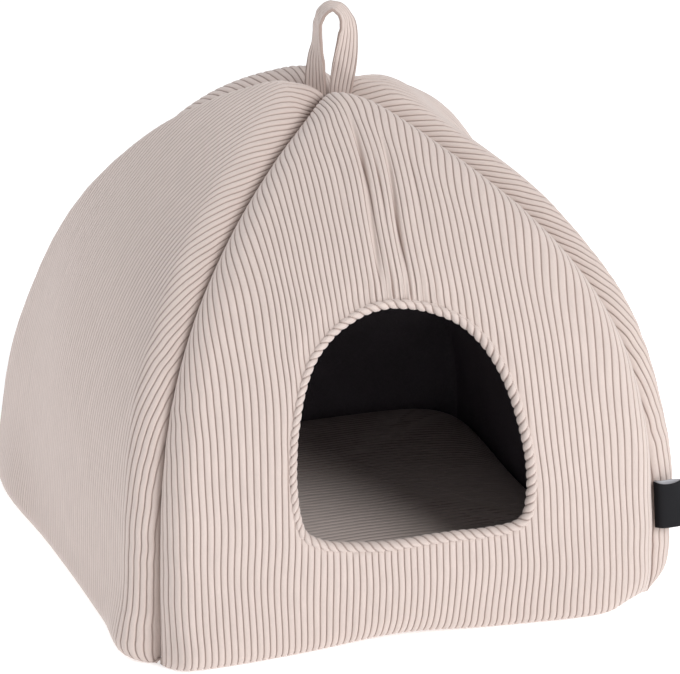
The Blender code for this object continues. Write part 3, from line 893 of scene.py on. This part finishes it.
def build_wall(name):
    panel, quarters = PANELS[name]
    is_front = name == "wall_front"

    def place(across, up):
        return panel.place(across + drift(panel, across, up) if is_front else across, up)

    cloth, faces, corners = outer_sheet(panel, place, is_front)
    outer = place(cloth[:, 0], cloth[:, 1])
    shares = np.linspace(-1, 1, 49 if is_front else 13)
    (inner,), inner_faces, columns = inner_sheet(panel, (0,), is_front, shares, INNER_ROWS)
    points, shift = np.concatenate([outer, inner]), len(outer)
    inner_faces = [tuple(i + shift for i in face) for face in inner_faces]
    inner_corners = columns[0][0][0][1] + shift, columns[-1][0][0][1] + shift, len(points) - 1
    rims = rims_between(faces, inner_faces, corners, inner_corners, points, is_front)
    backs = [face[::-1] for face in inner_faces]
    share = np.concatenate([wales_share(panel, cloth, outer, is_front), np.zeros(len(inner))])
    cloth = np.concatenate([cloth, inner[:, [0, 2]]])
    wall = dress(name + "_cloth", turned(points, quarters), faces + rims + backs, cloth,
                 across=cloth[:, 0], wale_share=share)
    return apply_tree(wall, WALES, pitch=WALE_PITCH, depth=WALE_DEPTH, material=cream)


WALE_DEPTH = 0.0013
for name in PANELS:
    wall = build_wall(name)
    stands_for(wall, name)

# %% [markdown]
# ## The doorway's binding
#
# The doorway is edged with a narrow strip cut across the cloth at a slant and folded over,
# so its cords run around it like a twisted rope. A rope follows a path, which is what
# Geometry Nodes do well: the tree sweeps a circle along the doorway and then lifts the
# surface by a wave that depends on both the way along the path and the turn around it.

# %% A twisted cord along a path
def twisted_tree():
    flow, given, leave = new_tree(
        "twisted_binding", "Half_width", "Half_depth", "Strands", "Turns", "Relief", "Pitch"
    )

    def stored(geometry, title, value, data_type="FLOAT", domain="POINT"):
        return flow.add("GeometryNodeStoreNamedAttribute", {"data_type": data_type, "domain": domain},
                        {"Geometry": geometry, "Name": title, "Value": value})

    def factor():
        return flow.add("GeometryNodeSplineParameter", {}, {}, "Factor")

    path = flow.add("GeometryNodeMeshToCurve", {}, {"Mesh": given["Geometry"]})
    even = flow.add("GeometryNodeResampleCurve", {"mode": "COUNT"}, {"Curve": path, "Count": 1100})
    circle = flow.add(
        "GeometryNodeCurvePrimitiveCircle", {"mode": "RADIUS"}, {"Resolution": 40, "Radius": 1.0}, "Curve"
    )
    oval = flow.vector(given["Half_depth"], given["Half_width"], 1.0)
    section = {"Geometry": stored(circle, "around", factor()), "Scale": oval}
    tube = flow.add("GeometryNodeCurveToMesh", {}, {
        "Curve": stored(even, "along", factor()), "Fill Caps": False,
        "Profile Curve": flow.add("GeometryNodeTransform", {}, section),
    })
    phase = flow.named("along") * given["Turns"] - flow.named("around") * given["Strands"]
    lifted = flow.moved(tube, rounded(phase, 2.2, 0.5) * given["Relief"])
    place = flow.vector(phase * given["Pitch"], flow.named("along") * 0.7)
    mapped = stored(lifted, "cloth", place, "FLOAT2", "CORNER")
    return finish_tree(flow, mapped, given["Material"], leave)


# %% Sweeping the binding round the doorway
BINDING_HALF, BINDING_DEEP, BINDING_SUNK = 0.0031, 0.0042, 0.0022
CORD_PITCH, CORD_DEPTH, PATH_POINTS = 0.0067, 0.0017, 400
front = PANELS["wall_front"][0]
centres, doorway_length = door_outline(PATH_POINTS, BINDING_HALF)
depths = front_depth(front, centres[:, 0], centres[:, 1]) + BINDING_SUNK
path_points = np.stack([centres[:, 0], depths, centres[:, 1]], axis=1)
path = bpy.data.meshes.new("binding_path")
path.from_pydata(path_points.tolist(), [(i, (i + 1) % PATH_POINTS) for i in range(PATH_POINTS)], [])
cords = round(doorway_length / CORD_PITCH)
binding = apply_tree(
    link("binding_cord", path), twisted_tree(), half_width=BINDING_HALF, half_depth=BINDING_DEEP,
    strands=2.0, turns=float(cords), relief=CORD_DEPTH, pitch=WALE_PITCH, material=cream,
)
stands_for(binding, "doorway_binding")
print("binding:", round(doorway_length, 3), "m long,", cords, "cords")

# %% [markdown]
# ## The hanging loop
#
# A strap of the same corduroy, five wales wide, is bent over on itself. Its two ends are sewn
# side by side into the point and lie flat along one pair of seams. As it climbs, the strap
# turns its face to the front. Its centre line and the way it faces are two smooth functions
# of one number, which runs from one end to the other.

# %% A strap swept along its centre line
STRAP_WIDTH, STRAP_THICK, STRAP_WALES, STRAP_RELIEF = 0.0175, 0.0030, 5, 0.0008
LOOP_TOP, LOOP_FOOT, LOOP_LENGTH = 0.3958, 0.3289, 0.16
LOOP_SPREAD, LOOP_ARCH, LOOP_TURN = 0.0105, 0.017, 1.28  # half its width, the arch's height, radians


def loop_centre(share):
    """The centre line: straight sides and an arch. It turns as it climbs."""
    climb = 2 * min(share, 1 - share)
    leg, turn = min(1.0, 2 * climb), QUARTER * max(0.0, 2 * climb - 1)
    shoulder = LOOP_TOP - STRAP_THICK / 2 - LOOP_ARCH
    height = LOOP_FOOT + (shoulder - LOOP_FOOT) * leg + LOOP_ARCH * math.sin(turn)
    spread = (LOOP_SPREAD - 0.0009 * (1 - leg)) * math.cos(turn)
    across = math.copysign(spread, share - 0.5) + 0.0015 + 0.0031 * float(soft(0, 1, leg))
    azimuth = math.radians(-45 + 25 * float(soft(0, 0.9, leg)))
    return np.array([across * math.cos(azimuth), across * math.sin(azimuth), height]), azimuth


def loop_frame(share):
    """One place on the loop: its centre, the way across the strap and the way out of it."""
    centre, azimuth = loop_centre(share)
    before, after = loop_centre(max(0, share - 0.004))[0], loop_centre(min(1, share + 0.004))[0]
    along = (after - before) / np.linalg.norm(after - before)
    if share in (0, 1):
        along = np.array([0, 0, 1.0 if share == 0 else -1.0])
    facing = LOOP_TURN * float(soft(0, 0.25 if share < 0.5 else 0.43, min(share, 1 - share)))
    plane = np.array([math.cos(azimuth), math.sin(azimuth), 0])
    normal = np.array([math.sin(azimuth), -math.cos(azimuth), 0])
    wide = math.cos(facing) * plane * (1 if share < 0.5 else -1) + math.sin(facing) * normal
    wide -= along * float(wide @ along)
    wide /= np.linalg.norm(wide)
    return centre, wide, np.cross(along, wide)


def strap_section():
    """Points round the strap: place across, side, wales from its edge, and 1 where wales show."""
    ring = []
    for face in (1, -1):
        for n in [n + s for n in range(STRAP_WALES) for s in WALE_PLACES] + [STRAP_WALES]:
            ring.append(((2 * n / STRAP_WALES - 1) * face, face, n if face == 1 else STRAP_WALES - n, 1))
        for turn in np.linspace(0, math.pi, 5)[1:-1]:
            past = STRAP_THICK / STRAP_WIDTH * math.sin(turn)
            ring.append((face * (1 + past), face * math.cos(turn), 0, 0))
    return ring


def build_loop():
    steps, ring = 150, strap_section()
    points, cloth, shares = [], [], []
    for share in (step / steps for step in range(steps + 1)):
        centre, wide, thick = loop_frame(share)
        crumple = 0.0003 * math.sin(share * 37) + 0.0002 * math.sin(share * 71 + 1)
        squeeze = 1 - 0.10 * math.exp(-((share - 0.36) / 0.06) ** 2)
        for place, lift, n, grooved in ring:
            ripple = crumple * math.sin(place * 2 + share * 20)
            points.append(centre + wide * place * squeeze * (STRAP_WIDTH - STRAP_THICK) / 2
                          + thick * (lift * STRAP_THICK / 2 + ripple))
            cloth.append((n * WALE_PITCH, share * LOOP_LENGTH))
            shares.append(grooved if 0.02 < n < STRAP_WALES - 0.02 else 0)
    around = len(ring)
    faces = ring_faces(steps, around)
    faces += [tuple(reversed(range(around))), tuple(range(steps * around, (steps + 1) * around))]
    strap = dress("loop_strap", points, faces, cloth, across=[c[0] for c in cloth], wale_share=shares)
    outwards(strap)
    return apply_tree(strap, WALES, pitch=WALE_PITCH, depth=STRAP_RELIEF, material=cream)


def ring_faces(steps, around):
    """Faces between rings of points that follow each other, each ring `around` long."""
    quads = []
    for i in range(0, steps * around, around):
        for j in range(around):
            after = (j + 1) % around
            quads.append((i + j, i + after, i + around + after, i + around + j))
    return quads


def outwards(thing, merge=False):
    """Turns a closed mesh's faces outwards, once its doubled points are merged if it has any."""
    work = bmesh.new()
    work.from_mesh(thing.data)
    if merge:
        bmesh.ops.remove_doubles(work, verts=work.verts, dist=1e-6)
    bmesh.ops.recalc_face_normals(work, faces=work.faces)
    work.to_mesh(thing.data)
    work.free()


strap = build_loop()
stands_for(strap, "hanging_loop")

# %% [markdown]
# ## The floor cushion
#
# The cushion is a flat pillow cut square, with its corners rounded and its sides drawn in.
# Its wales run from side to side. It is laid out as the walls are, in columns along the
# wales: one on the top and one underneath, which meet at the widest line.

# %% A crowned cushion
CUSHION_HALF, CUSHION_DRAWN_IN, CUSHION_HEIGHT = 0.1495, 0.003, 0.037


def cushion_radius(turn):
    square = (abs(np.cos(turn)) ** 8 + abs(np.sin(turn)) ** 8) ** (-1 / 8)
    return CUSHION_HALF * square - CUSHION_DRAWN_IN * np.cos(2 * turn) ** 2


def cushion_point(x, y, is_top):
    """A square place from -1 to 1 each way, moved into the cushion's outline and height."""
    far = np.maximum(np.maximum(abs(x), abs(y)), 1e-6)
    turn = np.arctan2(y, x)
    radius = cushion_radius(turn) * far
    edge = 1 - far  # 0 at the widest line
    rise = np.clip(edge / 0.30, 0, 1)
    round_off = np.sqrt(1 - (1 - rise) ** 2)
    bottom = BASE_THICK + GAP
    middle = bottom + 0.013
    top = middle + (CUSHION_HEIGHT - 0.013) * (0.80 * round_off + 0.20 * soft(0, 0.8, edge))
    top = top + 0.0005 * ripples(60, 0.13, radius * np.cos(turn), radius * np.sin(turn)) * round_off
    under = middle - 0.013 * np.sqrt(1 - (1 - np.clip(edge / 0.10, 0, 1)) ** 2)
    return np.stack([radius * np.cos(turn), radius * np.sin(turn), np.where(is_top, top, under)], axis=-1)


def build_cushion():
    count = int(2 * CUSHION_HALF / WALE_PITCH)
    ys = [(n + s) * WALE_PITCH for n in range(-count // 2, count // 2) for s in WALE_PLACES]
    ys = [-1] + [y / CUSHION_HALF for y in ys if abs(y) < CUSHION_HALF * 0.995] + [1]
    xs = 1 - np.array([0, 0.01, 0.025, 0.05, 0.08, 0.12, 0.17, 0.23, 0.30, 0.40, 0.55, 0.7, 0.85])
    xs = np.concatenate([-xs, [0], xs[::-1]])
    grid_x, grid_y = np.meshgrid(xs, ys)
    wide, tall = len(xs), len(ys)
    top = cushion_point(grid_x.ravel(), grid_y.ravel(), True)
    under = cushion_point(grid_x.ravel(), grid_y.ravel(), False)
    index = np.arange(wide * tall).reshape(tall, wide)
    faces = []
    for j in range(tall - 1):
        for i in range(wide - 1):
            quad = (index[j, i], index[j, i + 1], index[j + 1, i + 1], index[j + 1, i])
            faces.append(tuple(int(v) for v in quad))
            faces.append(tuple(int(v) + wide * tall for v in reversed(quad)))
    points = np.concatenate([top, under])
    cloth = np.concatenate([top[:, [1, 0]], under[:, [1, 0]]])
    share = soft(0, 0.02, 1 - np.maximum(abs(grid_x), abs(grid_y)).ravel())
    pad = dress("floor_pad", points, faces, cloth, across=np.tile(grid_y.ravel() * CUSHION_HALF, 2),
                wale_share=np.tile(share, 2))
    outwards(pad, merge=True)
    # Its material is the corduroy darkened as painted shade.
    return apply_tree(pad, WALES, pitch=WALE_PITCH, depth=WALE_DEPTH, material=cushion_cream_painted_shade)


pad = build_cushion()
stands_for(pad, "floor_cushion")

# %% [markdown]
# ## The lining
#
# The inside is lined with one dark, thin cloth in four panels, held to the walls. It is a
# real sheet: two faces one millimetre apart, closed along the floor and the doorway. Small
# wrinkles only ever go inwards, so it never cuts into the foam behind it.

# %% Dark cloth: the lining and the base
def dark_cloth(name, colour, roughness, thread, relief):
    material, flow, shader = new_material(name, roughness, 0.25)
    where = flow.add("ShaderNodeTexCoord", {}, {}, "Object")
    fine, cloudy = flow.noise(where, thread, 3, 0.6), flow.noise(where, 18, 2, 0.5)
    share = 0.5 + (fine - 0.5) * 0.9 + (cloudy - 0.5) * 0.8
    paint(shader, flow.mix(share, times(colour, 0.65), times(colour, 1.35)), fine, relief, 0.0004)
    return material


LINING_THICK, LINING_GAP = 0.001, 0.0005
lining_dark = dark_cloth("lining_dark", (0.25, 0.225, 0.25), 0.85, 700, 0.5)


def build_lining():
    rows, shares = np.linspace(0, 0.97, 45), np.linspace(-1, 1, 61)
    outside, inside, faces = [], [], []
    for name, (panel, quarters) in PANELS.items():
        layers, sheet_faces, _ = inner_sheet(
            panel, (LINING_GAP, LINING_GAP + LINING_THICK), name == "wall_front", shares, rows
        )
        shift = sum(len(points) for points in outside)
        outside.append(turned(layers[0], quarters))
        inside.append(turned(layers[1], quarters))
        faces += [tuple(i + shift for i in face) for face in sheet_faces]
    outside, inside = np.concatenate(outside), np.concatenate(inside)
    _, first, same = np.unique(np.round(outside, 5), axis=0, return_index=True, return_inverse=True)
    outside, inside, same = outside[first], inside[first], same.ravel()
    faces = [tuple(dict.fromkeys(int(same[i]) for i in face)) for face in faces]
    faces = [face for face in faces if len(face) > 2]

    dents = np.maximum(0, 0.4 + ripples(70, 0.055, *outside.T) + 0.5 * ripples(71, 0.02, *outside.T))
    in_front = outside[:, 1] < -0.12
    from_door = np.where(in_front, np.maximum(0, to_doorway(outside[:, 0], outside[:, 2])), 0.1)
    towards = np.array([0, 0, 0.12]) - outside
    towards /= np.linalg.norm(towards, axis=1)[:, None]
    depth = dents * 0.0012 * soft(0, 0.02, from_door) * soft(0.004, 0.02, outside[:, 2])
    shift = towards * depth[:, None]
    count = len(outside)
    points = np.concatenate([outside + shift, inside + shift])
    pairs = {(a, b) for face in faces for a, b in zip(face, face[1:] + face[:1])}
    rims = [(b, a, a + count, b + count) for a, b in pairs if (b, a) not in pairs]
    backs = [tuple(i + count for i in reversed(face)) for face in faces]
    sheet = dress("lining_sheet", points, faces + backs + rims, points[:, [0, 2]])
    outwards(sheet)
    sheet.data.materials.append(lining_dark)
    work = bmesh.new()
    work.from_mesh(sheet.data)
    area = sum(face.calc_area() for face in work.faces) / 2
    loose = sum(len(edge.link_faces) != 2 for edge in work.edges)
    work.free()
    return sheet, area, loose


sheet, area, loose = build_lining()
stands_for(sheet, "lining")
print("lining:", round(area, 4), "m2,", loose, "edges not closed")

# %% [markdown]
# ## The blank tab
#
# A short ribbon is folded in half and caught in the front right seam, as such tabs are. Its
# two layers bulge apart in the middle. The outside is dark satin, and a paler backing shows
# in the fold. It is left blank.

# %% A folded ribbon
TAB_HEIGHT, TAB_LENGTH, TAB_BOTTOM, TAB_CLOTH = 0.035, 0.020, 0.052, 0.0008


def build_tab():
    start = float(seam_half(TAB_BOTTOM + TAB_HEIGHT / 2, "front_right")) + 0.0016
    steps, across = 48, 24
    reach = np.linspace(0, TAB_LENGTH, 80)
    heading = np.radians(-45 + 46 * soft(0, 0.009, reach))  # out of the seam, then aside
    middle = np.cumsum(np.stack([np.cos(heading), np.sin(heading)]) * reach[1], axis=1)
    points, inside = [], []
    for j in range(across + 1):
        height = j / across
        belly = 0.0014 + 0.0016 * height**2  # half the space between the layers
        layers = []
        for shrink in (0, TAB_CLOTH):
            turn = np.pi * (np.arange(steps + 1) / steps - 0.5)
            out = np.maximum(0, np.cos(turn)) ** 0.55
            side = np.sin(turn) * belly * (0.65 + 0.35 * out) * (0.55 + 0.45 * np.sin(np.pi * out * 0.8))
            side -= np.copysign(np.minimum(abs(side), shrink * 0.8), side)
            far = np.maximum(0, TAB_LENGTH * out - shrink * out)
            angle = np.interp(far, reach, heading)
            dip = 0.0014 * height**6 * np.sin(np.pi * out) * (side < 0)
            layers.append(np.stack([
                start + np.interp(far, reach, middle[0]) - side * np.sin(angle) + 0.0020 * (1 - height),
                -start + np.interp(far, reach, middle[1]) + side * np.cos(angle),
                TAB_BOTTOM + TAB_HEIGHT * height - dip,
            ], axis=1))
        points += [*layers[0], *layers[1][::-1]]
        inside += [0] * (steps + 1) + [1] * (steps + 1)
    sides = 2 * (steps + 1)
    faces = ring_faces(across, sides)
    for j in (0, across):
        first, last = j * sides, (j + 1) * sides - 1
        faces += [(first + i, first + i + 1, last - 1 - i, last - i) for i in range(steps)]
    cloth = [(i % sides * 0.001, i // sides * 0.0015) for i in range(len(points))]
    tab = dress("tab_ribbon", points, faces, cloth, inside=inside)
    outwards(tab)
    return tab


def satin(name, colour, back):
    material, flow, shader = new_material(name, 0.5, 0.12)
    where = flow.add("ShaderNodeTexCoord", {}, {}, "Object")
    threads = flow.add("ShaderNodeTexWave", {"wave_type": "BANDS", "bands_direction": "Z"},
                       {"Vector": where, "Scale": 900, "Distortion": 0.6, "Detail": 1}, "Fac")
    face = flow.mix(threads, times(colour, 0.8), times(colour, 1.25))
    inside = flow.add("ShaderNodeAttribute", {"attribute_name": "inside"}, {}, "Fac")
    paint(shader, flow.mix(inside, face, back), threads, 0.3, 0.0001)
    return material


tab = build_tab()
tab.data.materials.append(satin("tab_satin", (0.011, 0.011, 0.013), (0.50, 0.50, 0.53)))
stands_for(tab, "seam_tab")

# %% [markdown]
# ## The base
#
# Underneath is a flat square of tough, dark cloth with a stiff sheet in it and a rounded edge.

# %% The base
BASE_HALF, BASE_CORNER = 0.174, 0.015
base_dark = dark_cloth("base_dark", (0.030, 0.029, 0.031), 0.9, 900, 0.6)


def base_outline(half, corner, count=9):
    ring = []
    for quarter in range(4):
        for turn in np.linspace(quarter * QUARTER, (quarter + 1) * QUARTER, count):
            side_x, side_y = (1 if quarter in (0, 3) else -1), (1 if quarter < 2 else -1)
            ring.append((side_x * (half - corner) + corner * math.cos(turn),
                         side_y * (half - corner) + corner * math.sin(turn)))
    return ring


def build_base():
    profile = [  # inset and height, from the middle below round the edge
        (0.0120, 0), (0.0013, 0), (0.0004, 0.0005), (0, 0.0015), (0.0004, 0.0026),
        (0.0013, BASE_THICK), (0.0120, BASE_THICK),
    ]
    rings = [[(x, y, z) for x, y in base_outline(BASE_HALF - inset, BASE_CORNER)] for inset, z in profile]
    sides = len(rings[0])
    points = [p for ring in rings for p in ring]
    faces = ring_faces(len(rings) - 1, sides)
    faces += [tuple(range(sides)), tuple(range(len(points) - sides, len(points)))]
    base = dress("base_panel", points, faces, [(p[0], p[1]) for p in points])
    outwards(base)
    return base


base = build_base()
base.data.materials.append(base_dark)
stands_for(base, "base")

# %% [markdown]
# ## Floor, light and background
#
# The light is a plain studio set: a large soft light from the front right, weaker ones from
# the left and from above, and a pale surrounding. The wales only show because the light
# crosses them, so the main light comes in at a slant.

# %% Stage and light
floor_mesh = bpy.data.meshes.new("floor")
floor_mesh.from_pydata([(-6, -6, 0), (6, -6, 0), (6, 6, 0), (-6, 6, 0)], [], [(0, 1, 2, 3)])  # 12 m square
floor = link("floor", floor_mesh)
floor_white, _, shader = new_material("floor_white", 0.9, 0.5)
shader.inputs["Base Color"].default_value = (0.9, 0.9, 0.9, 1)
shader.inputs["Emission Color"].default_value = (1, 1, 1, 1)
shader.inputs["Emission Strength"].default_value = 0.5
floor_mesh.materials.append(floor_white)
floor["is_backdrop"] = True

world = bpy.data.worlds.new("studio")
world.use_nodes = True
for socket, value in (("Color", (1, 1, 1, 1)), ("Strength", 0.32)):
    world.node_tree.nodes["Background"].inputs[socket].default_value = value
bpy.context.scene.world = world


def soft_light(name, azimuth, elevation, distance, size, power, colour=(1, 1, 1)):
    light = bpy.data.lights.new(name, "AREA")
    light.shape, light.size, light.energy, light.color = "DISK", size, power, colour
    towards = direction(math.radians(azimuth), math.radians(elevation))
    aim(bpy.data.objects.new(name, light), towards, distance)


soft_light("main_light", 27, 30, 3.4, 1.7, 71)
soft_light("side_light", -112, 30, 2.0, 1.0, 12, (0.93, 0.96, 1))
soft_light("top_light", 150, 72, 2.4, 1.6, 11, (0.96, 0.98, 1))
bpy.context.scene.view_settings.view_transform = "Standard"

# %% [markdown]
# ## Print the size and finish
#
# The dressed cave is meant to stay the size of the imported model, so both boxes are printed
# at the end.

# %% Finish
visual_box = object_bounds()
boxes = {"cad": [list(corner) for corner in cad_box], "visual": [list(corner) for corner in visual_box]}
for title, box in boxes.items():
    print(title, [[round(v, 4) for v in corner] for corner in box])
